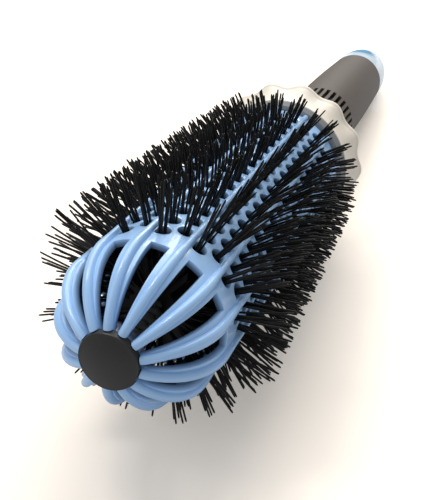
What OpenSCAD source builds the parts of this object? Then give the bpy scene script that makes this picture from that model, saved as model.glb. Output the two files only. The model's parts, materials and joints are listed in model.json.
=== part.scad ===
// Thermal round brush, lying on a table as it comes to rest.
// It touches the table with its rearmost bristles and with its end cap.
// Every piece is drawn standing on its nose, with the brush's axis along Z.
// The last step in place() lays the whole brush down along X.

/* [Barrel] */
// Outside diameter of the barrel between its fins
barrel_diameter = 33; // [28:0.5:40]
// Length of the barrel with its domed nose
barrel_length = 105.6; // [96:0.1:126]
// Thickness of the barrel's wall
barrel_wall = 1.5; // [1.2:0.1:2]
// Width of a fin
fin_width = 1.3; // [1:0.1:1.8]
// How far a fin stands out of the barrel
fin_height = 1.12; // [0.9:0.02:1.6]

/* [Nose] */
// Width of a nose rib where it meets the barrel
rib_width = 4.5; // [3.6:0.1:5]
// Width of a nose rib at the cap
rib_tip_width = 1.6; // [1.2:0.1:2]
// Width of the bead along the middle of a nose rib
bead_width = 1.8; // [1.4:0.1:2]
// Length over which the bead narrows down to its fin
bead_fade = 7; // [4:0.5:8]
// How far that bead stands out of the rib
bead_height = 1.24; // [1.1:0.02:1.8]
// Diameter of the soft cap on the nose
cap_diameter = 11.8; // [9:0.2:14]
// Height of the cap's dome
cap_dome = 1; // [0.4:0.1:1.6]

/* [Holes] */
// Diameter of a bristle hole
hole_diameter = 3.5; // [3.3:0.1:3.8]
// Distance from one hole of a row to the next
hole_pitch = 5.07; // [4.8:0.01:6]
// Distance of a row of holes from the middle between two fins
row_offset = 1.95; // [1.9:0.05:2.1]
// Distance from the nose to the first holes
first_hole = 21.9; // [21:0.1:30]
// Plain band between the last holes and the barrel's rear end
rear_band = 3; // [2.8:0.1:8]

/* [Bristles] */
// How far the bristles stand out of the barrel near the nose
front_reach = 11.4; // [7:0.2:13]
// How far the bristles stand out of the barrel near the handle
rear_reach = 8; // [6:0.2:13]
// Thickness of one bristle
bristle_thickness = 0.6; // [0.4:0.05:0.7]

/* [Collar] */
// How far the ring behind the barrel stands out beyond it
ring_overhang = 2.15; // [1:0.05:2.6]
// Length of that ring
ring_length = 1.6; // [1.2:0.1:3]
// Diameter of the collar's wide rim
collar_diameter = 41; // [38:0.5:52]
// Length of the collar from the ring to the grip
collar_length = 15.5; // [12:0.5:20]
// Distance from the ring to the collar's rim
rim_distance = 7.3; // [6:0.1:8.5]

/* [Handle] */
// Largest diameter of the soft grip
grip_diameter = 21.2; // [20.2:0.2:26]
// Diameter of the grip next to the collar
grip_front_diameter = 20.1; // [18:0.1:22]
// Diameter of the grip next to the end cap
grip_end_diameter = 19.2; // [16:0.1:22]
// Length of the grip
grip_length = 82; // [70:1:110]
// Thickness of the grip at its front
grip_wall = 1.15; // [0.9:0.05:1.6]
// Thickness of the inner handle tube
tube_wall = 1.6; // [1.2:0.1:2]
// Number of slots around the front of the grip
slot_count = 32; // [24:2:36]
// Width of a slot
slot_width = 1.1; // [0.8:0.05:1.2]
// Length of a slot
slot_length = 27.5; // [15:0.5:35]
// Length of the rounded end cap
end_cap_length = 25.5; // [16:0.5:32]
// Thickness of the end cap's wall
end_cap_wall = 2; // [1.4:0.1:3]

/* [Hidden] */
$fn = 64;
// One fin points straight up, so that two bristle rows share the table below
fin_count = 13;
sector = 360 / fin_count;
barrel_r = barrel_diameter / 2;
bore_r = barrel_r - barrel_wall;
arc = 2 * PI * barrel_r / fin_count;
// The nose is half a ball; the cap sits in its pole, just proud of the beads
cap_r = cap_diameter / 2;
cap_gap = 0.12;
cap_back = barrel_r - sqrt(pow(barrel_r, 2) - pow(cap_r, 2));
bead_z = barrel_r - sqrt(pow(barrel_r + bead_height, 2) - pow(cap_r, 2));
cap_front = bead_z - 0.3;
cap_stem = 1.4;
hub_r = cap_r - 0.5;
hub_length = 3;
core_r = 2;
// Round holes on both sides of a sector's middle line, cut off along the fins
hole_r = hole_diameter / 2;
hole_margin = 0.2;
row_angle = asin(row_offset / barrel_r);
flat_shift = arc / 2 - fin_width / 2 - hole_margin;
hole_room = barrel_length - rear_band - hole_r - first_hole - hole_pitch / 2;
hole_count = floor(hole_room / hole_pitch) + 1;
// Behind the barrel: a gap, the ring, the collar and the handle
ring_gap = 0.5;
ring_z = barrel_length + ring_gap;
ring_r = barrel_r + ring_overhang;
ring_bevel = 0.9;
plug_length = 3;
collar_z = ring_z + ring_length;
collar_sleeve = 2;
collar_back = 4.5;
rim_r = collar_diameter / 2;
rim_z = collar_z + rim_distance;
rim_wall = 4;
grip_z = collar_z + collar_length;
grip_r = grip_diameter / 2;
grip_front_r = grip_front_diameter / 2;
grip_end_r = grip_end_diameter / 2;
grip_end = grip_z + grip_length;
tube_r = grip_front_r - grip_wall;
tube_end_r = grip_end_r - 1.5;
plug_r = tube_end_r - tube_wall;
taper_z = grip_z + 0.62 * grip_length;
slot_front = 2;
plug_depth = 8;
plug_wall = 1.4;

// Radius of the grip along its length, with t from 0 at the front to 1
function grip_at(t) = t < 0.5
    ? grip_front_r + (grip_r - grip_front_r) * sin(180 * t)
    : grip_end_r + (grip_r - grip_end_r) * cos(180 * t - 90);
function grip_line() = [for (i = [0:20]) [grip_at(i / 20), grip_z + grip_length * i / 20]];
// A blunt dome, fuller than half an ellipse
function blunt_dome(r, length, steps) = [for (i = [0:steps]) [
    r * pow(cos(90 * i / steps), 0.8),
    grip_end + length * pow(sin(90 * i / steps), 0.8)
]];
function end_line() = blunt_dome(grip_end_r, end_cap_length, 18);
// Outline of the nose cap, a shallow dome with a round edge
function cap_line() = concat(
    [for (i = [0:8]) [cap_r * i / 9, cap_front - cap_dome * (1 - pow(i / 9, 2))]],
    [[cap_r - 0.12, cap_front - 0.1], [cap_r, cap_front + 0.12]]
);

// Bristles, two rows in each sector
thread_r = bristle_thickness / 2;
function side(n) = n % 2 == 0 ? 1 : -1;
function row_turn(n) = sector * floor(n / 2) + side(n) * row_angle;
function hole_z(n, i) = first_hole + hole_pitch * (i + (side(n) > 0 ? 0.5 : 0));
function row_name(n) = str("bristle_row_", n < 9 ? "0" : "", n + 1);
last_hole = hole_z(0, hole_count - 1);
function tip_at(z) = barrel_r + front_reach
    + (rear_reach - front_reach) * (z - first_hole) / (last_hole - first_hole);

// How the brush lies: the table touches a bristle's tip and the handle's end
function low_at(z) = tip_at(z) * cos(row_angle) + thread_r * sin(row_angle);
tufts = [for (n = [0, 1]) for (i = [0:hole_count - 1]) hole_z(n, i)];
handle_line = concat(grip_line(), end_line());
function lean(z) = min([for (p = handle_line) atan((low_at(z) - p[0]) / (p[1] - z))]);
tilt = max([for (z = tufts) lean(z)]);
axis_drop = max([for (z = tufts) low_at(z) * cos(tilt) + z * sin(tilt)]);
front_x = min([for (p = cap_line()) p[1] * cos(tilt) - p[0] * sin(tilt)]);
back_x = max([for (p = end_line()) p[1] * cos(tilt) + p[0] * sin(tilt)]);

// Lays a standing piece down and sets it on the table
module place() {
    translate([-(front_x + back_x) / 2, 0, axis_drop])
        rotate([0, 90 + tilt, 0])
            children();
}

// Turns a copy to every fin, the first one pointing up
module at_fins() {
    for (k = [0:fin_count - 1])
        rotate(180 + sector * k)
            children();
}

// Section of a fin or of a bead, with its top rounded
module ridge_section(width, height) {
    translate([barrel_r - 0.3, -width / 2])
        square([0.3 + height - width / 2, width]);
    translate([barrel_r + height - width / 2, 0])
        circle(d = width, $fn = 32);
}

// Section through the finned barrel
module barrel_section() {
    difference() {
        union() {
            circle(barrel_r);
            at_fins()
                ridge_section(fin_width, fin_height);
        }
        circle(bore_r);
    }
}

// One hole, round towards the sector's middle and flat along the fin
module hole_outline() {
    intersection() {
        translate([0, row_offset])
            rotate(22.5)
                circle(hole_r, $fn = 8);
        translate([-hole_r - 1, row_offset - hole_r - 1])
            square([2 * hole_r + 2, flat_shift - row_offset + hole_r + 1]);
    }
}

// Every hole of one sector, drawn flat and driven through the wall
module sector_holes() {
    translate([bore_r - 2, 0, 0])
        rotate([0, 90, 0])
            linear_extrude(barrel_wall + 4)
                for (i = [0:hole_count - 1]) {
                    translate([-hole_z(0, i), 0])
                        hole_outline();
                    translate([-hole_z(1, i), 0])
                        mirror([0, 1])
                            hole_outline();
                }
}

// Flat strips of the nose ribs, narrower towards the cap
module rib_strips() {
    intersection() {
        translate([0, 0, barrel_r])
            rotate_extrude()
                intersection() {
                    difference() {
                        circle(barrel_r);
                        circle(bore_r);
                    }
                    translate([0, -barrel_r])
                        square([barrel_r, barrel_r]);
                }
        linear_extrude(barrel_r)
            at_fins()
                polygon([
                    [hub_r - 1, -rib_tip_width / 2],
                    [cap_r, -rib_tip_width / 2],
                    [barrel_r + 1, -rib_width / 2],
                    [barrel_r + 1, rib_width / 2],
                    [cap_r, rib_tip_width / 2],
                    [hub_r - 1, rib_tip_width / 2]
                ]);
    }
}

// Raised bead of a nose rib, bent over the dome
module rib_bead() {
    translate([0, 0, barrel_r])
        rotate([-90, 0, 0])
            rotate_extrude(angle = 90 - asin((hub_r - 0.3) / barrel_r))
                ridge_section(bead_width, bead_height);
}

// Start of a fin, where the bead runs on over the barrel and narrows
module bead_end() {
    translate([0, 0, barrel_r])
        intersection() {
            linear_extrude(bead_fade)
                ridge_section(bead_width, bead_height);
            translate([barrel_r - 1, 0, 0])
                rotate([0, 90, 0])
                    linear_extrude(bead_height + 2)
                        polygon([
                            [1, -bead_width],
                            [-1, -bead_width / 2 - 0.05],
                            [-bead_fade - 1, -fin_width / 2 + 0.1],
                            [-bead_fade - 1, fin_width / 2 - 0.1],
                            [-1, bead_width / 2 + 0.05],
                            [1, bead_width]
                        ]);
        }
}

module barrel_shell() {
    color([0.62, 0.75, 0.92])
        place()
            difference() {
                union() {
                    translate([0, 0, barrel_r])
                        linear_extrude(barrel_length - barrel_r)
                            barrel_section();
                    rib_strips();
                    at_fins() {
                        rib_bead();
                        bead_end();
                    }
                    translate([0, 0, cap_back])
                        cylinder(h = hub_length, r = hub_r);
                }
                translate([0, 0, cap_back - hub_length])
                    cylinder(h = hub_length, r = cap_r + cap_gap);
                translate([0, 0, cap_back - 1])
                    cylinder(h = hub_length + 2, r = core_r);
                for (k = [0:fin_count - 1])
                    rotate(sector * k)
                        sector_holes();
            }
}

module nose_cap() {
    color([0.16, 0.16, 0.155])
        place()
            rotate_extrude()
                polygon(concat(
                    cap_line(),
                    [[cap_r, cap_back], [core_r, cap_back]],
                    [[core_r, cap_back + cap_stem], [0, cap_back + cap_stem]]
                ));
}

module core_rod() {
    color([0.55, 0.56, 0.57])
        place()
            translate([0, 0, cap_back + cap_stem])
                cylinder(h = ring_z - 1 - cap_back - cap_stem, r = core_r);
}

module rear_plug() {
    color([0.07, 0.07, 0.075])
        place()
            translate([0, 0, ring_z - plug_length])
                difference() {
                    cylinder(h = plug_length, r = bore_r);
                    translate([0, 0, -1])
                        cylinder(h = plug_length, r = core_r);
                }
}

module neck_ring() {
    color([0.55, 0.55, 0.56])
        place()
            translate([0, 0, ring_z])
                rotate_extrude()
                    polygon([
                        [tube_r, 0],
                        [ring_r - 1, 0],
                        [ring_r, ring_bevel],
                        [ring_r, ring_length],
                        [tube_r, ring_length]
                    ]);
}

// Flared guard with a round rim, hollow from the front
module collar() {
    color([0.88, 0.84, 0.78])
        place()
            rotate_extrude()
                polygon(concat(
                    [[tube_r, collar_z], [tube_r + collar_sleeve, collar_z]],
                    [[tube_r + collar_sleeve, grip_z - collar_back]],
                    [[rim_r - rim_wall, rim_z - 1], [ring_r - 2, collar_z]],
                    [for (i = [0:6]) [
                        ring_r + (rim_r - 0.5 - ring_r) * pow(i / 6, 1.5),
                        collar_z + (rim_z - 0.6 - collar_z) * i / 6
                    ]],
                    [for (a = [-60:30:60]) [rim_r - 1 + cos(a), rim_z + 0.4 + sin(a)]],
                    [for (i = [0:6]) [
                        grip_front_r + (rim_r - 2 - grip_front_r) * pow(1 - i / 6, 1.6),
                        rim_z + 1.4 + (grip_z - rim_z - 1.4) * i / 6
                    ]],
                    [[tube_r, grip_z]]
                ));
}

module handle_tube() {
    color([0.06, 0.06, 0.065])
        place()
            rotate_extrude()
                polygon([
                    [tube_r - tube_wall, ring_z],
                    [tube_r, ring_z],
                    [tube_r, taper_z],
                    [tube_end_r, grip_end],
                    [plug_r, grip_end],
                    [plug_r, grip_end - plug_depth],
                    [tube_r - tube_wall, taper_z - 2]
                ]);
}

module grip_sleeve() {
    color([0.42, 0.39, 0.36])
        place()
            difference() {
                rotate_extrude()
                    polygon(concat(
                        grip_line(),
                        [[tube_end_r, grip_end], [tube_r, taper_z], [tube_r, grip_z]]
                    ));
                for (k = [0:slot_count - 1])
                    rotate(360 * (k + 0.5) / slot_count)
                        translate([tube_r - 0.5, -slot_width / 2, grip_z + slot_front])
                            cube([grip_r - tube_r + 1.5, slot_width, slot_length]);
            }
}

// Hollow dome, with a plug that fits in the handle tube
module end_cap() {
    color([0.66, 0.8, 0.92])
        place()
            rotate_extrude()
                polygon(concat(
                    end_line(),
                    [for (p = [12:-1:0]) blunt_dome(
                        grip_end_r - max(end_cap_wall, grip_end_r - plug_r + 0.2),
                        end_cap_length - end_cap_wall,
                        12
                    )[p]],
                    [[plug_r - plug_wall, grip_end - plug_depth]],
                    [[plug_r, grip_end - plug_depth], [plug_r, grip_end]]
                ));
}

// One bristle from the core rod out through its hole
module bristle(z, lean, turn, reach) {
    translate([core_r + 0.01, 0, z])
        rotate([0, 90 - lean, turn])
            cylinder(h = (reach - core_r) / cos(lean), r = thread_r, $fn = 3);
}

// Tufts of three: a straight one and two that spread apart
module bristle_row(n) {
    color([0.04, 0.04, 0.045])
        place()
            rotate(row_turn(n))
                for (i = [0:hole_count - 1]) {
                    z = hole_z(n, i);
                    cut = 0.5 + 0.35 * ((i * 3 + n * 2) % 4);
                    bristle(z - 0.6, -2, -side(n) * 2, tip_at(z) - cut);
                    bristle(z, 0, 0, tip_at(z));
                    bristle(z + 0.6, 2, side(n) * 2, tip_at(z) - 1.7 + cut);
                }
}

barrel_shell();
nose_cap();
core_rod();
rear_plug();
neck_ring();
collar();
handle_tube();
grip_sleeve();
end_cap();
for (n = [0:2 * fin_count - 1])
    bristle_row(n);
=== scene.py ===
"""Looks of the thermal round brush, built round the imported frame."""
import json
import math
import random

import bpy
import numpy as np
from mathutils import Euler, Matrix, Vector


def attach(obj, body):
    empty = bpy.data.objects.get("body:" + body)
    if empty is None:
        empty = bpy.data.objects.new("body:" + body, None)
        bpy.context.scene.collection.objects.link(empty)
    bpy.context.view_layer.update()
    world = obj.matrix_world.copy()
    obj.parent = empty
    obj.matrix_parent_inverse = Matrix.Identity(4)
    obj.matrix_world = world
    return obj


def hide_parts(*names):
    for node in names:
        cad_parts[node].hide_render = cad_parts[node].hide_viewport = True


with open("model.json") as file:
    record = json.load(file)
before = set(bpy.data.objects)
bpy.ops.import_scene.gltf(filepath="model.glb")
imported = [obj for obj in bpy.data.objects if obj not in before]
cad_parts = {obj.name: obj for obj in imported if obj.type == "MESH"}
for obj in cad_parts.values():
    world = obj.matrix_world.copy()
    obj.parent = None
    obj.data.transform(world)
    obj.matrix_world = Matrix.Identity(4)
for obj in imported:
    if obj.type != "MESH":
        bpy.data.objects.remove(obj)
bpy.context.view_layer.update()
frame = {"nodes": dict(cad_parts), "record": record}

MM = 0.001

# How the brush lies, as place() in part.scad lays it, in millimetres
TILT = math.radians(7.509026)
SHIFT_X = -113.57942
AXIS_Z = 37.28644

# Sizes of part.scad that barrel and bristles follow, in millimetres
SECTORS = 13
BARREL_R = 16.5
FIRST_HOLE = 21.9
HOLE_PITCH = 5.07
HOLES = 16
LAST_HOLE = FIRST_HOLE + HOLE_PITCH * (HOLES - 0.5)
ROW_OFFSET = 1.95
ROW_ANGLE = math.degrees(math.asin(ROW_OFFSET / BARREL_R))
CORE_R = 2.0
FRONT_REACH = 11.4
REAR_REACH = 8.0

# Gap that keeps a modelled face off its neighbour or inside its CAD piece
CLEAR = 0.02

# Angles in degrees up to which edges are shaded smooth; bristles go with the wires
MOULDED, WIRES, ROOTS = 40, 60, 30

# Seeds of the random draws: the roots, and the first bristle row
ROOT_SEED, ROW_SEED = 77, 1000


def slide(start, end, share):
    """The value at a share of the way between two."""
    return start + (end - start) * share


def lay(points):
    """Takes points of the standing brush, in millimetres, to the frame, in metres."""
    turn = np.array(Matrix.Rotation(math.pi / 2 + TILT, 3, "Y"))
    return (np.asarray(points) @ turn.T + np.array([SHIFT_X, 0, AXIS_Z])) * MM


def tip_at(z):
    """Radius that the straight bristles reach at a place along the barrel."""
    share = (z - FIRST_HOLE) / (LAST_HOLE - FIRST_HOLE)
    return BARREL_R + slide(FRONT_REACH, REAR_REACH, share)


# ---------------------------------------------------------------- materials

# Sockets of a Mix node that is set to colours
MIX_FACTOR, MIX_FIRST, MIX_SECOND, MIX_RESULT = 0, 6, 7, 2

# Distances from the barrel's axis between which the shade painted on the inside of its wall
# gives way to plain blue, in metres
PAINTED_SHADE_TO = 0.0149
PAINTED_SHADE_GONE_FROM = 0.0163

# Middle of the deep blue oval on top of the end cap, in metres, and how many of its radii a
# metre holds
DEEP_BLUE_OVAL_PLACE = (0.1004, -0.0008, 0.0184)
DEEP_BLUE_OVAL_STRETCH = (150, 130, 220)


class Value:
    """A socket that takes part in sums written as Python expressions."""

    def __init__(self, paint, socket):
        self.paint = paint
        self.socket = socket

    def maths(self, operation, *terms):
        return self.paint.node("ShaderNodeMath", {"operation": operation}, *terms)

    def __add__(self, other):
        return self.maths("ADD", self, other)

    def __radd__(self, other):
        return self.maths("ADD", other, self)

    def __rsub__(self, other):
        return self.maths("SUBTRACT", other, self)

    def __rmul__(self, other):
        return self.maths("MULTIPLY", other, self)


class Paint:
    """A node material, with one Principled shader on its output."""

    def __init__(self, name):
        self.material = bpy.data.materials.new(name)
        self.material.use_nodes = True
        self.tree = self.material.node_tree
        self.tree.nodes.clear()
        self.output = self.tree.nodes.new("ShaderNodeOutputMaterial")

    def node(self, kind, settings=None, *inputs, out=0, **named):
        """Adds a node, sets it up, feeds its sockets and returns one output."""
        made = self.tree.nodes.new(kind)
        for key, value in (settings or {}).items():
            setattr(made, key, value)
        for key, value in list(enumerate(inputs)) + list(named.items()):
            self.feed(made, key, value)
        return Value(self, made.outputs[out])

    def feed(self, made, key, value):
        """Links or sets a socket, found by its place or its name; None leaves it alone."""
        socket = made.inputs[key.replace("_", " ") if isinstance(key, str) else key]
        if isinstance(value, Value):
            self.tree.links.new(value.socket, socket)
        elif value is not None:
            socket.default_value = value

    def place(self):
        """The piece's own coordinates, in metres."""
        return self.node("ShaderNodeTexCoord", out="Object")

    def vector(self, operation, *terms, out=0):
        return self.node("ShaderNodeVectorMath", {"operation": operation}, *terms, out=out)

    def length(self, vector):
        return self.vector("LENGTH", vector, out="Value")

    def noise(self, scale, detail, stretch=None):
        at = self.place()
        if stretch:
            at = self.node("ShaderNodeMapping", None, at, Scale=stretch)
        return self.node("ShaderNodeTexNoise", None, Vector=at, Scale=scale, Detail=detail)

    def ramp(self, value, *stops):
        """Runs from one colour to another; a stop is a position and a colour."""
        made = self.tree.nodes.new("ShaderNodeValToRGB")
        for element, (position, colour) in zip(made.color_ramp.elements, stops):
            element.position = position
            element.color = colour
        self.feed(made, 0, value)
        return Value(self, made.outputs[0])

    def mix(self, mask, first, second):
        made = self.tree.nodes.new("ShaderNodeMix")
        made.data_type = "RGBA"
        for key, value in ((MIX_FACTOR, mask), (MIX_FIRST, first), (MIX_SECOND, second)):
            self.feed(made, key, value)
        return Value(self, made.outputs[MIX_RESULT])

    def bump(self, height, strength, distance):
        return self.node(
            "ShaderNodeBump", None, Strength=strength, Distance=distance, Height=height
        )

    def finish(self, **sockets):
        shader = self.node("ShaderNodeBsdfPrincipled", None, **sockets)
        self.tree.links.new(shader.socket, self.output.inputs["Surface"])
        return self.material


def rgb(red, green, blue):
    return (red, green, blue, 1.0)


BLACK = rgb(0, 0, 0)
WHITE = rgb(1, 1, 1)


def clouded(name, cloud, dark, light, roughness, grain=None, **uniform):
    """A finish whose colour and roughness drift; grain is its fine bump."""
    paint = Paint(name)
    drift = paint.noise(*cloud)
    if grain:
        scale, detail, strength, distance = grain
        uniform["Normal"] = paint.bump(paint.noise(scale, detail), strength, distance)
    least, swing = roughness
    return paint.finish(
        Base_Color=paint.mix(drift, rgb(*dark), rgb(*light)),
        Roughness=least + swing * drift,
        **uniform,
    )


def depth_in_wall(paint):
    """Distance from the barrel's axis, or from the middle of its domed nose, in metres."""
    axis = tuple((lay([(0, 0, 1)])[0] - lay([(0, 0, 0)])[0]) / MM)
    centre = tuple(lay([(0, 0, BARREL_R)])[0])
    arm = paint.vector("SUBTRACT", paint.place(), centre)
    along = paint.vector("DOT_PRODUCT", arm, axis, out="Value")
    along = along.maths("MAXIMUM", along, 0.0)
    foot = paint.vector("SCALE", axis, None, None, along)
    return paint.length(paint.vector("SUBTRACT", arm, foot))


def blue_plastic():
    """Glossy blue moulding, with shade painted dark blue on the inside of the barrel and the
    sides of its holes.
    """
    paint = Paint("moulded_blue_plastic")
    cloud = paint.noise(45, 2.0)
    flow = paint.noise(260, 3.0, stretch=(0.15, 1, 1))
    depth = depth_in_wall(paint)
    # Painted shade: surfaces nearer the axis than the outer wall turn dark blue
    out_of_painted_shade = paint.node("ShaderNodeMapRange", None, depth, PAINTED_SHADE_TO, PAINTED_SHADE_GONE_FROM, 0.0, 1.0)
    body = paint.mix(cloud, rgb(0.36, 0.60, 0.96), rgb(0.41, 0.66, 0.99))
    return paint.finish(
        # The dark blue is painted shade inside the wall and its holes, not the plastic's
        # colour
        Base_Color=paint.mix(out_of_painted_shade, rgb(0.06, 0.10, 0.18), body),
        Roughness=0.2 + 0.12 * cloud + 0.06 * flow,
        Coat_Weight=0.45,
        Coat_Roughness=0.08,
        Normal=paint.bump(flow, 0.12, 0.0001),
    )


def pale_blue_plastic():
    """Clear pale plastic, deeper in colour in an oval on top of its rounded end."""
    paint = Paint("clear_pale_blue_plastic")
    cloud = paint.noise(60, 2.0)
    arm = paint.vector("SUBTRACT", paint.place(), DEEP_BLUE_OVAL_PLACE)
    away = paint.length(paint.vector("MULTIPLY", arm, DEEP_BLUE_OVAL_STRETCH))
    deep_blue_oval = paint.ramp(away + 0.15 * cloud, (0.55, WHITE), (1.0, BLACK))
    body = paint.mix(cloud, rgb(0.62, 0.76, 0.88), rgb(0.70, 0.82, 0.92))
    return paint.finish(
        Base_Color=paint.mix(deep_blue_oval, body, rgb(0.02, 0.21, 0.37)),
        Roughness=0.14 + 0.1 * cloud + 0.3 * deep_blue_oval,
        Coat_Weight=0.5 - 0.5 * deep_blue_oval,
        Normal=paint.bump(paint.noise(1500, 2.0), 0.08, 0.00005),
    )


# Each slot's material. Those of clouded() give the drift's scale and detail, two
# colours, the least roughness with its swing, and the grain's scale, detail,
# strength and distance.
FINISH = {
    "blue_plastic": blue_plastic(),
    "pale_blue_plastic": pale_blue_plastic(),
    "black_rubber": clouded(
        "black_cap_rubber", (120, 3.0),
        (0.011, 0.011, 0.009), (0.020, 0.020, 0.017), (0.36, 0.16),
        (2600, 3.0, 0.25, 0.00005),
    ),
    "black_plastic": clouded(
        "black_inner_plastic", (90, 3.0),
        (0.004, 0.004, 0.004), (0.009, 0.009, 0.009), (0.45, 0.15),
    ),
    "grey_plastic": clouded(
        "satin_grey_plastic", (90, 3.0),
        (0.30, 0.30, 0.295), (0.38, 0.38, 0.37), (0.35, 0.15),
        (2000, 2.0, 0.1, 0.00005),
    ),
    "cream_plastic": clouded(
        "satin_cream_plastic", (55, 3.0),
        (0.83, 0.75, 0.63), (0.88, 0.81, 0.70), (0.33, 0.15),
        (2200, 2.0, 0.12, 0.00005),
    ),
    "grip_rubber": clouded(
        "warm_grey_soft_grip", (70, 4.0),
        (0.058, 0.044, 0.032), (0.090, 0.070, 0.052), (0.52, 0.15),
        (3000, 3.0, 0.25, 0.00006), Sheen_Weight=0.05,
    ),
    "black_nylon": clouded(
        "black_bristle_nylon", (400, 2.0),
        (0.0035, 0.0032, 0.003), (0.010, 0.0085, 0.007), (0.30, 0.2),
        Specular_IOR_Level=0.25,
    ),
    "core_wire": clouded(
        "dull_core_wire", (300, 3.0),
        (0.045, 0.045, 0.047), (0.08, 0.08, 0.082), (0.45, 0.2),
        Metallic=0.6,
    ),
}


def clothe_cad_nodes():
    """Gives each CAD node the finish of its slot in the record."""
    slots = {row["node"]: row["material_slot"] for row in frame["record"]["subparts"]}
    for name, piece in frame["nodes"].items():
        piece.data.materials.clear()
        piece.data.materials.append(FINISH[slots[name]])


# ------------------------------------------------------------- mesh helpers


def pick(piece):
    """Makes one piece the only selected and the active one."""
    bpy.ops.object.select_all(action="DESELECT")
    piece.select_set(True)
    bpy.context.view_layer.objects.active = piece


def edit(piece, *steps):
    """Runs operators in edit mode, each on all of one piece."""
    pick(piece)
    bpy.ops.object.mode_set(mode="EDIT")
    for step in steps:
        bpy.ops.mesh.select_all(action="SELECT")
        step()
    bpy.ops.object.mode_set(mode="OBJECT")


def merge_doubles():
    bpy.ops.mesh.remove_doubles(threshold=0.004)


def face_outwards():
    bpy.ops.mesh.normals_make_consistent(inside=False)


def points_of(piece):
    points = np.empty(len(piece.data.vertices) * 3)
    piece.data.vertices.foreach_get("co", points)
    return points.reshape(-1, 3)


def set_points(piece, points):
    piece.data.vertices.foreach_set("co", np.asarray(points, dtype=float).ravel())
    piece.data.update()


def join(pieces):
    """Joins all pieces into the first one."""
    bpy.ops.object.select_all(action="DESELECT")
    for piece in pieces:
        piece.select_set(True)
    bpy.context.view_layer.objects.active = pieces[0]
    bpy.ops.object.join()
    return bpy.context.active_object


def copy_of(piece, points):
    """A copy with its own mesh, its points set anew."""
    twin = bpy.data.objects.new(piece.name, piece.data.copy())
    bpy.context.scene.collection.objects.link(twin)
    set_points(twin, points)
    return twin


def add_modifier(piece, kind, **settings):
    """Adds a modifier to a piece and applies it."""
    pick(piece)
    made = piece.modifiers.new(kind.lower(), kind)
    for key, value in settings.items():
        setattr(made, key, value)
    bpy.ops.object.modifier_apply(modifier=made.name)


def patch(table):
    """A sheet of faces through a table of points, rows by columns."""
    table = np.asarray(table, dtype=float)
    rows, columns = table.shape[0] - 1, table.shape[1] - 1
    bpy.ops.object.select_all(action="DESELECT")
    bpy.ops.mesh.primitive_grid_add(x_subdivisions=columns, y_subdivisions=rows, size=2)
    sheet = bpy.context.active_object
    at = np.rint((points_of(sheet)[:, :2] + 1) / 2 * (columns, rows)).astype(int)
    set_points(sheet, table[at[:, 1], at[:, 0]])
    return sheet


def tube(rings):
    """A closed skin through rings of points, with both ends filled."""
    rings = np.asarray(rings, dtype=float)
    skin = patch(np.concatenate([rings, rings[:, :1]], axis=1))
    edit(skin, merge_doubles, lambda: bpy.ops.mesh.fill_holes(sides=0), face_outwards)
    return skin


def ring_skin(outline, steps, swell=0.0, lobe=0.0):
    """Turns an outline of (radius, z, share) round the axis, its share lobed."""
    rings = []
    for step in range(steps):
        turn = 2 * math.pi * step / steps
        grow = swell + lobe * math.cos(SECTORS * turn)
        rings.append([
            ((r + grow * share) * math.cos(turn), (r + grow * share) * math.sin(turn), z)
            for r, z, share in outline
        ])
    table = np.array(rings + rings[:1])
    skin = patch(np.concatenate([table, table[:, :1]], axis=1))
    edit(skin, merge_doubles, face_outwards)
    return skin


def finish_piece(piece, name, node, slot, angle):
    """Lays a standing piece down, smooths it and lets it stand for its node."""
    set_points(piece, lay(points_of(piece)))
    pick(piece)
    bpy.ops.object.shade_smooth_by_angle(angle=math.radians(angle))
    piece.name = name
    piece.data.name = name
    piece.data.materials.clear()
    piece.data.materials.append(FINISH[slot])
    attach(piece, "root")
    if node:
        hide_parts(node)


# ------------------------------------------------------------------- barrel

# Sizes of the barrel, those of part.scad or close to them, in millimetres
BARREL_END = 105.6
BARREL_WALL = 1.5
ARC = 2 * math.pi * BARREL_R / SECTORS
HOLE_R = 1.75
HOLE_FLAT = 0.85
RIB_HALF = 2.125
RIB_TIP_HALF = 0.8
CAP_R = 5.9
CAP_SEAT = 1.12
HUB_R = 5.4
HUB_BORE = 2.02
HUB_SHOULDER = 1.3
HUB_BACK = 4.1
HUB_EDGE = 0.2
FIN_WIDTH = 1.3
FIN_HEIGHT = 1.12
BEAD_WIDTH = 1.85
BEAD_HEIGHT = 1.22
BEAD_FADE = 7.0
EDGE_BEVEL = 0.13
BEVEL_ANGLE = 50
# Distances from a fin's middle at which the wall's faces are cut
CUTS = (0, 1.1, RIB_HALF, 3.1, ARC / 2)
# Faces along the barrel to one hole
CELL_STEPS = 8
# Cuts nearer than this to the end of a plain strip are left out
CUT_ROOM = 0.1
# Turns in degrees at which a hole's round edge has points: towards the next
# sector, then down its flank to the flat side
HOLE_TURNS = [14.5 * k - 58 for k in range(9)]
FLANK_TURNS = [77, 95, 114]
# How far up the dome a rib goes, in degrees, and its faces along that way
RIB_LIFT = 72.5
RIB_STEPS = 18
# How deep the foot of a fin or bead stands in the wall
FOOT = 0.5
# Turn at which a ridge's rounded top starts, and its points
TOP_START = 0.15
TOP_POINTS = 9
# The bead's front end: gaps to the cap, each with what the bead is smaller by, and
# the gap from which it has its full size
BEAD_NOSE = ((0.13, 0.2), (0.2, 0.07))
BEAD_START = 0.9
# How far before the barrel the bead starts to narrow down to its fin
FADE_LEAD = 1
# The fin's rear end: its length, and how much narrower and lower it gets
FIN_END = 0.4
FIN_END_NARROWER = 0.15
FIN_END_LOWER = 0.3
# Sections of the ridge over the dome, along its fade and along the fin
DOME_SECTIONS, FADE_SECTIONS, FIN_SECTIONS = 20, 8, 10


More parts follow.
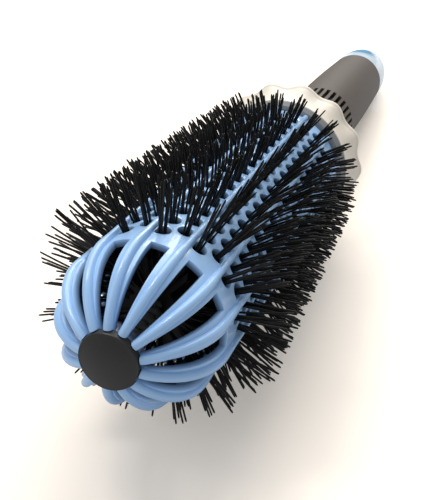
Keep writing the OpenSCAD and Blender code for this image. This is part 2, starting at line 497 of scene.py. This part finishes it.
def hole_cell():
    """Flat patch round one hole: X along the barrel, Y from the fin's middle outwards."""
    half = HOLE_PITCH / 2
    rim = [(half * (2 * k / CELL_STEPS - 1), ARC / 2) for k in range(CELL_STEPS + 1)]
    rim += [(half, y) for y in reversed(CUTS[:-1])]
    rim += [(half * share, 0) for share in (0.5, 0, -0.5)]
    rim += [(-half, y) for y in CUTS[:-1]]
    centre = ARC / 2 - ROW_OFFSET
    corner = math.degrees(math.acos((HOLE_FLAT - centre) / HOLE_R))
    flank = FLANK_TURNS + [corner]
    hole = [
        (HOLE_R * math.sin(math.radians(a)), centre + HOLE_R * math.cos(math.radians(a)))
        for a in HOLE_TURNS + flank
    ]
    edge = hole[-1][0]
    far_flank = [(-x, y) for x, y in reversed(hole[-len(flank):])]
    hole += [(edge * share, HOLE_FLAT) for share in (0.5, 0, -0.5)] + far_flank
    loops = []
    for points in (rim, hole):
        bpy.ops.object.select_all(action="DESELECT")
        bpy.ops.mesh.primitive_circle_add(vertices=len(points), radius=1)
        loop = bpy.context.active_object
        set_points(loop, [(x, y, 0) for x, y in points])
        loops.append(loop)
    cell = join(loops)
    edit(cell, lambda: bpy.ops.mesh.bridge_edge_loops())
    return cell


def far_edge_steps(start, end):
    """Cuts along the barrel that meet those of the next sector."""
    step = HOLE_PITCH / CELL_STEPS
    first = FIRST_HOLE - HOLE_PITCH / 2
    grid = [first + step * k for k in range(-CELL_STEPS, 20 * CELL_STEPS)]
    inner = [z for z in grid if start + CUT_ROOM < z < end - CUT_ROOM]
    return [start] + inner + [end]


def flat_sector():
    """The wall between two sectors' middles, spread flat, with its rib and holes."""
    cell = hole_cell()
    base = points_of(cell)
    pieces = []
    for side in (1, -1):
        shift = 0 if side > 0 else HOLE_PITCH / 2
        for hole in range(HOLES):
            centre = FIRST_HOLE + shift + HOLE_PITCH * hole
            pieces.append(copy_of(cell, base * (1, side, 1) + (centre, 0, 0)))
        front = FIRST_HOLE + shift - HOLE_PITCH / 2
        back = front + HOLE_PITCH * HOLES
        for start, end in ((BARREL_R, front), (back, BARREL_END)):
            steps = far_edge_steps(start, end)
            pieces.append(patch([[(z, side * y, 0) for y in CUTS] for z in steps]))
    bpy.data.objects.remove(cell)
    ribs = []
    for step in range(RIB_STEPS + 1):
        lift = math.radians(RIB_LIFT) * step / RIB_STEPS
        out = BARREL_R * math.cos(lift)
        share = max(0, (out - CAP_R) / (BARREL_R - CAP_R))
        half = slide(RIB_TIP_HALF, RIB_HALF, share)
        ys = [half * y / RIB_HALF for y in (-RIB_HALF, -CUTS[1], 0, CUTS[1], RIB_HALF)]
        ribs.append([(BARREL_R - BARREL_R * lift, y, 0) for y in ys])
    pieces.append(patch(ribs))
    sector = join(pieces)
    edit(sector, merge_doubles)
    return sector


def bend_sector(flat):
    """Bends flat points round the barrel and over its domed nose."""
    along, aside, up = flat.T
    nose = np.clip((BARREL_R - along) / BARREL_R, 0, None)
    radius = (BARREL_R + up) * np.cos(nose)
    z = np.where(along < BARREL_R, BARREL_R - (BARREL_R + up) * np.sin(nose), along)
    turn = aside / (BARREL_R * np.cos(nose))
    return np.stack([radius * np.cos(turn), radius * np.sin(turn), z], axis=1)


def ridge_ring(along, width, height):
    """Section of a fin or bead on the flat wall, with its top rounded."""
    r = width / 2
    ring = [(-r, -FOOT), (-r, (height - r) / 2)]
    for a in np.linspace(TOP_START, math.pi - TOP_START, TOP_POINTS):
        ring.append((-r * math.cos(a), height - r + r * math.sin(a)))
    ring += [(r, (height - r) / 2), (r, -FOOT)]
    return [(along, y, up) for y, up in ring]


def cap_edge(up, gap):
    """Place along the barrel where a height over the dome meets the cap's edge."""
    return BARREL_R - BARREL_R * math.acos((CAP_R + gap) / (BARREL_R + up))


def ridge():
    """One fin with the bead that runs on over the dome to the cap."""
    rings = []
    for gap, less in BEAD_NOSE:
        ring = ridge_ring(0, BEAD_WIDTH - less, BEAD_HEIGHT - less)
        rings.append([(cap_edge(up, gap), y, up) for _, y, up in ring])
    faded = BARREL_R + BEAD_FADE
    places = list(np.linspace(cap_edge(0, BEAD_START), BARREL_R, DOME_SECTIONS))
    places += list(np.linspace(BARREL_R, faded, FADE_SECTIONS))[1:]
    places += list(np.linspace(faded, BARREL_END - FIN_END, FIN_SECTIONS))[1:]
    for place in places:
        fade = min(1, max(0, (place - BARREL_R + FADE_LEAD) / BEAD_FADE))
        fade = fade * fade * (3 - 2 * fade)
        width = slide(BEAD_WIDTH, FIN_WIDTH, fade)
        height = slide(BEAD_HEIGHT, FIN_HEIGHT, fade)
        rings.append(ridge_ring(place, width, height))
    rings.append(ridge_ring(
        BARREL_END - CLEAR, FIN_WIDTH - FIN_END_NARROWER, FIN_HEIGHT - FIN_END_LOWER
    ))
    return tube(rings)


def hub():
    """Ring under the cap that the ribs run into."""
    outline = [
        (HUB_BORE, CAP_SEAT), (HUB_R - HUB_EDGE, CAP_SEAT), (HUB_R, HUB_SHOULDER),
        (HUB_R, HUB_BACK - HUB_EDGE), (HUB_R - HUB_EDGE, HUB_BACK), (HUB_BORE, HUB_BACK),
    ]
    return ring_skin([(r, z, 0) for r, z in outline], SECTORS * 4)


def round_barrel(piece, points):
    """Thirteen copies of a piece, its points turned to each fin in turn."""
    copies = []
    for fin in range(SECTORS):
        turn = Matrix.Rotation(math.pi + 2 * math.pi / SECTORS * fin, 3, "Z")
        copies.append(copy_of(piece, points @ np.array(turn).T))
    bpy.data.objects.remove(piece)
    return copies


def model_barrel():
    sector = flat_sector()
    wall = bend_sector(points_of(sector))
    under_cap = np.hypot(wall[:, 0], wall[:, 1]) < CAP_R + CLEAR
    wall[under_cap, 2] = np.maximum(wall[under_cap, 2], CAP_SEAT)
    barrel = join(round_barrel(sector, wall))
    edit(barrel, merge_doubles, face_outwards)
    add_modifier(
        barrel, "SOLIDIFY", thickness=BARREL_WALL, offset=-1, use_even_offset=True
    )
    add_modifier(
        barrel, "BEVEL", width=EDGE_BEVEL, segments=2,
        limit_method="ANGLE", angle_limit=math.radians(BEVEL_ANGLE),
    )
    fin = ridge()
    fins = round_barrel(fin, bend_sector(points_of(fin)))
    barrel = join([barrel] + fins + [hub()])
    finish_piece(barrel, "barrel_moulding", "barrel_shell", "blue_plastic", MOULDED)


# ------------------------------------------------------------ collar and core

# Sizes of part.scad that the collar and the core follow, in millimetres
COLLAR_Z = 107.7
COLLAR_SLEEVE = 2
COLLAR_BACK = 4.5
RIM_Z = 115.0
RIM_WALL = 4
GRIP_Z = 123.2
RING_R = 18.65
RIM_R = 20.5
TUBE_R = 8.9
GRIP_FRONT_R = 10.05
CORE_START = 2.49
CORE_END = 105.1
# How far the collar's rim swells, and its lobes beyond and under that
RIM_SWELL = 0.35
RIM_LOBE = 0.62
# The rounded edge of the rim: its radius, and its middle behind RIM_Z
RIM_ROUND = 1
RIM_MIDDLE = 0.4
# Where the flared faces meet that edge: how far under the rim, and before it
FRONT_UNDER, FRONT_BEFORE = 0.5, 0.6
BACK_UNDER = 2
# How the flares curve, in front and behind, and the sections of each
FRONT_CURVE, BACK_CURVE = 1.5, 1.6
FLARE_SECTIONS = 9
# The hollow in front: how far before the rim it is widest, its share of the lobes
# there, and the width of the lip round its mouth
HOLLOW_BEFORE, HOLLOW_SHARE = 1, 0.8
LIP = 2
# One of the core's wires: its radius, its distance from the axis, the length of
# its turn, and how its section leans in a turn
WIRE_R = 0.98
WIRE_OFFSET = 0.95
WIRE_PITCH = 6.0
WIRE_LEAN = 0.7
WIRE_SECTIONS = 206
# The roots' rings along the core, and their points: near radii, and far ones
ROOT_MARGIN = 1.2
ROOT_STEP = 0.85
ROOT_COLUMNS = 104
ROOT_SHIFT = 0.3
ROOT_NEAR = (4.2, 6.0)
ROOT_FAR = (8.0, 11.5)
FAR_SHARE = 0.34


def model_collar():
    """Flared guard whose rim swells out between the fins."""
    front, back, bore = COLLAR_Z + CLEAR, GRIP_Z - CLEAR, TUBE_R + CLEAR
    sleeve = TUBE_R + COLLAR_SLEEVE
    outline = [(bore, front, 0), (sleeve, front, 0), (sleeve, GRIP_Z - COLLAR_BACK, 0)]
    outline.append((RIM_R - RIM_WALL, RIM_Z - HOLLOW_BEFORE, HOLLOW_SHARE))
    outline.append((RING_R - LIP, front, 0))
    for share in np.linspace(0, 1, FLARE_SECTIONS):
        flare = share**FRONT_CURVE
        r = slide(RING_R - CLEAR, RIM_R - FRONT_UNDER - CLEAR, flare)
        outline.append((r, slide(front, RIM_Z - FRONT_BEFORE + CLEAR, share), flare))
    for a in np.radians((-60, -40, -20, 0, 20, 40, 60)):
        r = RIM_R - RIM_ROUND + RIM_ROUND * math.cos(a)
        outline.append((r, RIM_Z + RIM_MIDDLE + RIM_ROUND * math.sin(a), 1))
    for share in np.linspace(0, 1, FLARE_SECTIONS):
        flare = (1 - share) ** BACK_CURVE
        r = slide(GRIP_FRONT_R, RIM_R - BACK_UNDER, flare)
        outline.append((r, slide(RIM_Z + RIM_MIDDLE + RIM_ROUND, back, share), flare))
    outline.append((bore, back, 0))
    collar = ring_skin(outline, SECTORS * 12, swell=RIM_SWELL, lobe=RIM_LOBE)
    finish_piece(collar, "lobed_collar", "collar", "cream_plastic", MOULDED)


def model_core():
    """Two wires twisted round each other, which hold the bristles."""
    wires = []
    for start in (0, math.pi):
        rings = []
        for z in np.linspace(CORE_START, CORE_END, WIRE_SECTIONS):
            turn = start + 2 * math.pi * (z - CORE_START) / WIRE_PITCH
            across = np.array([math.cos(turn), math.sin(turn), 0])
            up = WIRE_LEAN * np.array([math.sin(turn), -math.cos(turn), 1])
            middle = across * WIRE_OFFSET + np.array([0, 0, z])
            rings.append([
                middle + WIRE_R * (across * math.cos(a) + up * math.sin(a))
                for a in np.linspace(0, 2 * math.pi, 8, endpoint=False)
            ])
        wires.append(tube(rings))
    core = join(wires)
    points = points_of(core)
    points[:, 2] = np.clip(points[:, 2], CORE_START, CORE_END)
    set_points(core, points)
    finish_piece(core, "twisted_core_wires", "core_rod", "core_wire", WIRES)


def model_roots():
    """Dense bristle roots round the core, rough and dark, that close the view through."""
    dice = random.Random(ROOT_SEED)
    rows = []
    for z in np.arange(FIRST_HOLE - ROOT_MARGIN, LAST_HOLE + ROOT_MARGIN, ROOT_STEP):
        ring = []
        for column in range(ROOT_COLUMNS):
            place = column + dice.uniform(-ROOT_SHIFT, ROOT_SHIFT)
            turn = 2 * math.pi * place / ROOT_COLUMNS
            r = dice.uniform(*ROOT_NEAR)
            if dice.random() < FAR_SHARE:
                r = dice.uniform(*ROOT_FAR)
            lift = dice.uniform(-ROOT_SHIFT, ROOT_SHIFT)
            ring.append((r * math.cos(turn), r * math.sin(turn), z + lift))
        rows.append(ring)
    roots = tube(rows)
    finish_piece(roots, "bristle_roots", None, "black_nylon", ROOTS)


# ----------------------------------------------------------------- bristles

# Places at which a bristle, a unit long, is cut, and where its tip starts
BRISTLE_CUTS = (0.35, 0.56, 0.72, 0.87, 0.985)
TIP_START = 0.99
# How much a bristle thins towards its tip, and the tip's own share
THINNING = 0.15
TIP_SHARE = 0.6
BRISTLE_R = (0.22, 0.26)
# A bristle starts this far out of the core and its path has this many points
ROOT_GAP = 0.1
PATH_POINTS = 9
# How far a bristle has fanned out at the core, and how it goes on beyond the barrel
SPREAD_AT_CORE = 0.25
FAN, FAN_POWER = 0.055, 1.25
# Bristles of a tuft, their places in the hole and how they lean
TUFT_COUNTS = (4, 5, 5, 6)
WAY_SHIFT = 0.3
SPREAD = (0.3, 0.85)
SPREAD_ASIDE, SPREAD_ALONG = 0.85, 1.1
TUFT_LEAN = (0.045, 0.06)
BRISTLE_LEAN = 0.036
# How far bristles stay short of the full reach; a tip that comes too near the
# table is lifted, in so many tries
SHORT = 0.2
SHORT_SPREAD, SHORT_MOST = 1.1, 3.2
SHORT_ASIDE = 0.3
TIP_LOW, TIP_LIFT = 0.35, 0.4
TRIES = 4


def row_turn(row):
    side = 1 if row % 2 == 0 else -1
    return math.radians(360 / SECTORS * (row // 2) + side * ROW_ANGLE)


def hole_z(row, hole):
    return FIRST_HOLE + HOLE_PITCH * (hole + (0.5 if row % 2 == 0 else 0))


def model_bristle():
    """One straight bristle along Z, a unit long and thick, cut into lengths."""
    bpy.ops.object.select_all(action="DESELECT")
    bpy.ops.mesh.primitive_cylinder_add(vertices=6, radius=1, depth=1, location=(0, 0, 0.5))
    bristle = bpy.context.active_object
    bpy.ops.object.transform_apply(location=True)
    bpy.ops.object.mode_set(mode="EDIT")
    for place in BRISTLE_CUTS:
        bpy.ops.mesh.select_all(action="SELECT")
        bpy.ops.mesh.bisect(plane_co=(0, 0, place), plane_no=(0, 0, 1))
    bpy.ops.object.mode_set(mode="OBJECT")
    bpy.ops.object.shade_smooth_by_angle(angle=math.radians(WIRES))
    return bristle


def bend_bristle(straight, path, radius):
    """Points of a bristle that follows a path, thinner towards its tip."""
    along = straight[:, 2]
    knots = np.linspace(0, 1, len(path))
    centre = np.stack([np.interp(along, knots, path[:, k]) for k in range(3)], axis=1)
    axis = path[-1] - path[0]
    axis /= np.linalg.norm(axis)
    across = np.cross(axis, (0, 0, 1))
    across /= np.linalg.norm(across)
    third = np.cross(axis, across)
    thin = radius * (1 - THINNING * along**2) * np.where(along > TIP_START, TIP_SHARE, 1)
    return centre + (straight[:, :1] * across + straight[:, 1:2] * third) * thin[:, None]


def bristle_path(row, z, spread, lean, reach):
    """From the core out through its hole, then fanning out."""
    turn = row_turn(row)
    cos, sin = math.cos(turn), math.sin(turn)
    spread, lean = np.array(spread), np.array(lean)
    path = []
    for share in np.linspace(0, 1, PATH_POINTS):
        r = slide(CORE_R + ROOT_GAP, reach, share)
        inside = min(1.0, r / BARREL_R)
        beyond = max(0.0, r - BARREL_R)
        out = spread * slide(SPREAD_AT_CORE, 1, inside)
        out += spread * FAN * beyond**FAN_POWER + lean * beyond
        path.append((r * cos - out[0] * sin, r * sin + out[0] * cos, z + out[1]))
    return np.array(path)


def plant_tuft(row, hole, straight, dice):
    """Laid points of each bristle of one tuft."""
    z = hole_z(row, hole)
    tuft_lean = [dice.gauss(0, spread) for spread in TUFT_LEAN]
    count = dice.choice(TUFT_COUNTS)
    for index in range(count):
        way = 2 * math.pi * (index + dice.uniform(-WAY_SHIFT, WAY_SHIFT)) / count
        wide = dice.uniform(*SPREAD)
        spread = (SPREAD_ASIDE * wide * math.cos(way), SPREAD_ALONG * wide * math.sin(way))
        lean = [a + dice.gauss(0, BRISTLE_LEAN) for a in tuft_lean]
        short = SHORT + min(SHORT_MOST, abs(dice.gauss(0, SHORT_SPREAD)))
        reach = tip_at(z) - short - SHORT_ASIDE * wide
        for _ in range(TRIES):
            path = bristle_path(row, z, spread, lean, reach)
            low = lay(path[-1:])[0, 2] / MM
            if low > TIP_LOW:
                break
            reach -= TIP_LIFT - low
        yield lay(bend_bristle(straight, path, dice.uniform(*BRISTLE_R)))


def plant_bristles():
    master = model_bristle()
    straight = points_of(master)
    for row in range(2 * SECTORS):
        name = "bristle_row_%02d" % (row + 1)
        dice = random.Random(ROW_SEED + row)
        piece = join([
            copy_of(master, points)
            for hole in range(HOLES)
            for points in plant_tuft(row, hole, straight, dice)
        ])
        piece.name = name + "_threads"
        piece.data.name = piece.name
        piece.data.materials.append(FINISH["black_nylon"])
        piece.data.update()
        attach(piece, "root")
        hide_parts(name)
    bpy.data.objects.remove(master)


# ------------------------------------------------------- camera, light, floor

# Distances from the floor's middle between which it turns plain white, in metres
WHITE_START, WHITE_FULL = 0.15, 0.6

# Each lamp's name, place, aim, size, power and colour
LAMPS = (
    ("key_softbox", (0.36, 0.02, 0.72), (-0.03, 0, 0.02),
     (0.7, 0.7), 4.2, (1.0, 0.985, 0.96)),
    ("window_light", (-0.04, 0.22, 0.72), (-0.05, 0, 0.03),
     (0.14, 0.22), 1.2, (1.0, 0.99, 0.97)),
    ("back_softbox", (0.75, 0.02, 0.50), (0.03, 0, 0.03),
     (0.5, 0.3), 2.8, (1.0, 0.985, 0.96)),
    ("fill_softbox", (-0.45, 0.40, 0.45), (-0.05, 0, 0.03),
     (0.5, 0.5), 0.7, (0.97, 0.98, 1.0)),
)

# The camera, fitted to the photograph: place in metres, turn in degrees, lens in millimetres
CAMERA_PLACE = (-0.22211, -0.06729, 0.13558)
CAMERA_TURN = (58.327, 4.605, -70.267)
CAMERA_LENS = 64.53


def add_floor():
    """Warm pale table near the brush, which runs out into plain white."""
    bpy.ops.object.select_all(action="DESELECT")
    bpy.ops.mesh.primitive_plane_add(size=6, location=(0, 0, 0))
    floor = bpy.context.active_object
    floor.name = "table"
    paint = Paint("white_table")
    seen = paint.node("ShaderNodeLightPath", out="Is Camera Ray")
    away = paint.length(paint.place())
    far = paint.ramp(away, (WHITE_START, BLACK), (WHITE_FULL, WHITE))
    warm = paint.mix(paint.noise(9, 3.0), rgb(0.93, 0.835, 0.735), rgb(0.95, 0.865, 0.77))
    glow = paint.mix(far, rgb(0.27, 0.257, 0.24), WHITE)
    paint.finish(
        Base_Color=paint.mix(seen, rgb(0.62, 0.62, 0.63), paint.mix(far, warm, BLACK)),
        Roughness=0.85,
        Specular_IOR_Level=0.2,
        Emission_Color=paint.mix(seen, BLACK, glow),
        Emission_Strength=1.0,
    )
    floor.data.materials.append(paint.material)


def add_lamp(name, place, target, size, power, colour):
    data = bpy.data.lights.new(name, "AREA")
    data.shape = "RECTANGLE"
    data.size, data.size_y = size
    data.energy = power
    data.color = colour
    lamp = bpy.data.objects.new(name, data)
    bpy.context.scene.collection.objects.link(lamp)
    lamp.location = place
    lamp.rotation_euler = (Vector(target) - Vector(place)).to_track_quat("-Z", "Y").to_euler()


def light_the_table():
    """Lamps, and a room that is white where the camera looks straight into it."""
    for lamp in LAMPS:
        add_lamp(*lamp)
    world = bpy.data.worlds.new("pale_room")
    bpy.context.scene.world = world
    world.use_nodes = True
    room = world.node_tree
    seen = room.nodes.new("ShaderNodeLightPath").outputs["Is Camera Ray"]
    tone = room.nodes.new("ShaderNodeMix")
    tone.data_type = "RGBA"
    room.links.new(seen, tone.inputs[MIX_FACTOR])
    tone.inputs[MIX_FIRST].default_value = rgb(0.35, 0.36, 0.37)
    tone.inputs[MIX_SECOND].default_value = WHITE
    room.links.new(tone.outputs[MIX_RESULT], room.nodes["Background"].inputs[0])


def add_camera():
    data = bpy.data.cameras.new("photo_view")
    data.sensor_fit = "VERTICAL"
    data.sensor_height = 36
    data.lens = CAMERA_LENS
    data.clip_start = 0.01
    camera = bpy.data.objects.new("photo_view", data)
    bpy.context.scene.collection.objects.link(camera)
    camera.location = CAMERA_PLACE
    camera.rotation_euler = Euler([math.radians(a) for a in CAMERA_TURN], "XYZ")
    bpy.context.scene.camera = camera


clothe_cad_nodes()
model_barrel()
model_collar()
model_core()
model_roots()
plant_bristles()
add_floor()
light_the_table()
add_camera()
bpy.context.scene.view_settings.view_transform = "Standard"
